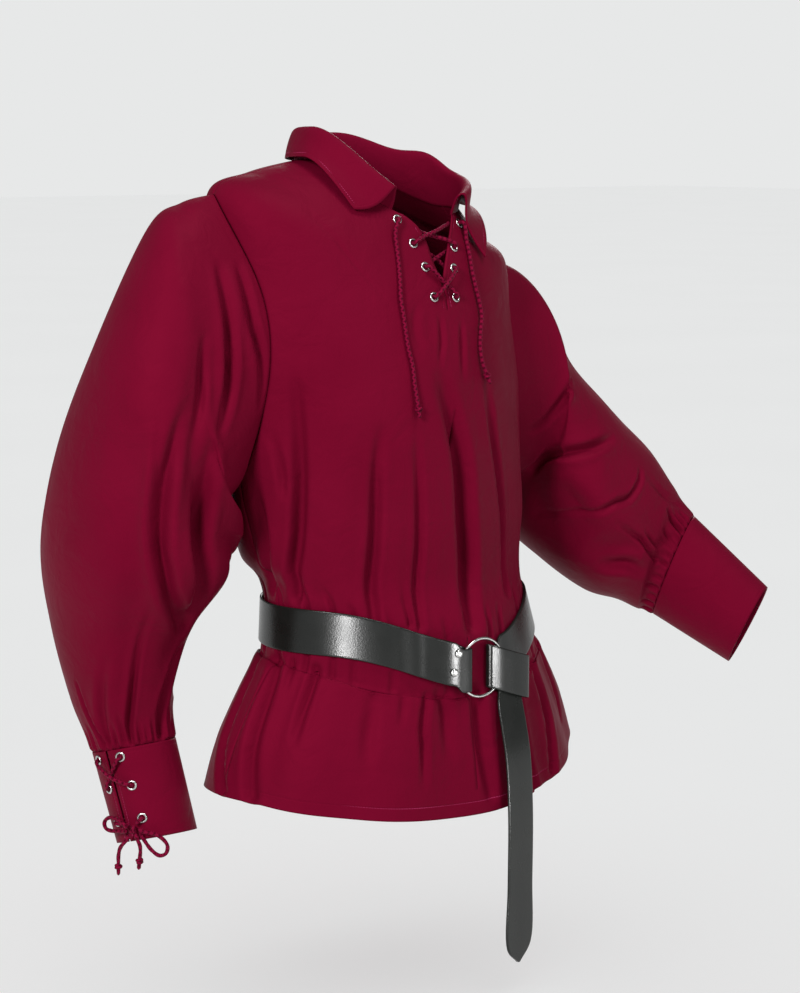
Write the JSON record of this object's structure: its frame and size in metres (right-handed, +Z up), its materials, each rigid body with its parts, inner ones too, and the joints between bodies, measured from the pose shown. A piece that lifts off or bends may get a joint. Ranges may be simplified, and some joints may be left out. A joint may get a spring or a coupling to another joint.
{
  "type": "laced historical shirt with ring belt",
  "caption": "Loose laced shirt with turned-down collar, full sleeves gathered into laced cuffs, and a knotted leather ring belt, in its worn form.",
  "frame": {"origin": "middle of the neck's base between the shoulders, where the wearer holds the shirt up", "axes": "+Z up, -Y the way the wearer faces, +X the wearer's left"},
  "size_m": [0.8568, 0.3621, 0.9146],
  "materials": {
    "cloth": "smooth matt satin, crimson",
    "leather": "black, softly shining",
    "nickel": "bright nickel plate",
    "lace": "twisted cord, crimson"
  },
  "bodies": {
    "root": {"front": "cloth", "back": "cloth", "collar": "cloth", "sleeve_right": "cloth", "cuff_right": "cloth", "sleeve_left": "cloth", "cuff_left": "cloth", "eyelet_neck_right_1": "nickel", "eyelet_neck_left_1": "nickel", "eyelet_neck_right_2": "nickel", "eyelet_neck_left_2": "nickel", "eyelet_neck_right_3": "nickel", "eyelet_neck_left_3": "nickel", "eyelet_neck_right_4": "nickel", "eyelet_neck_left_4": "nickel", "eyelet_cuff_right_a1": "nickel", "eyelet_cuff_right_b1": "nickel", "eyelet_cuff_right_a2": "nickel", "eyelet_cuff_right_b2": "nickel", "eyelet_cuff_right_a3": "nickel", "eyelet_cuff_right_b3": "nickel", "eyelet_cuff_left_a1": "nickel", "eyelet_cuff_left_b1": "nickel", "eyelet_cuff_left_a2": "nickel", "eyelet_cuff_left_b2": "nickel", "eyelet_cuff_left_a3": "nickel", "eyelet_cuff_left_b3": "nickel", "belt_strap": "leather", "belt_tail": "leather", "belt_ring": "nickel", "rivet_upper": "nickel", "rivet_lower": "nickel", "lace_neck": "lace", "lace_neck_end_right": "lace", "knot_neck_end_right": "lace", "lace_cuff_right": "lace", "knot_cuff_right": "lace", "lace_cuff_right_loop_a": "lace", "lace_cuff_right_end_a": "lace", "knot_cuff_right_end_a": "lace", "lace_cuff_right_end_b": "lace", "knot_cuff_right_end_b": "lace", "lace_cuff_right_loop_b": "lace", "lace_neck_end_left": "lace", "knot_neck_end_left": "lace", "lace_cuff_left": "lace", "knot_cuff_left": "lace", "lace_cuff_left_loop_a": "lace", "lace_cuff_left_end_a": "lace", "knot_cuff_left_end_a": "lace", "lace_cuff_left_end_b": "lace", "knot_cuff_left_end_b": "lace", "lace_cuff_left_loop_b": "lace"}
  },
  "joints": []
}
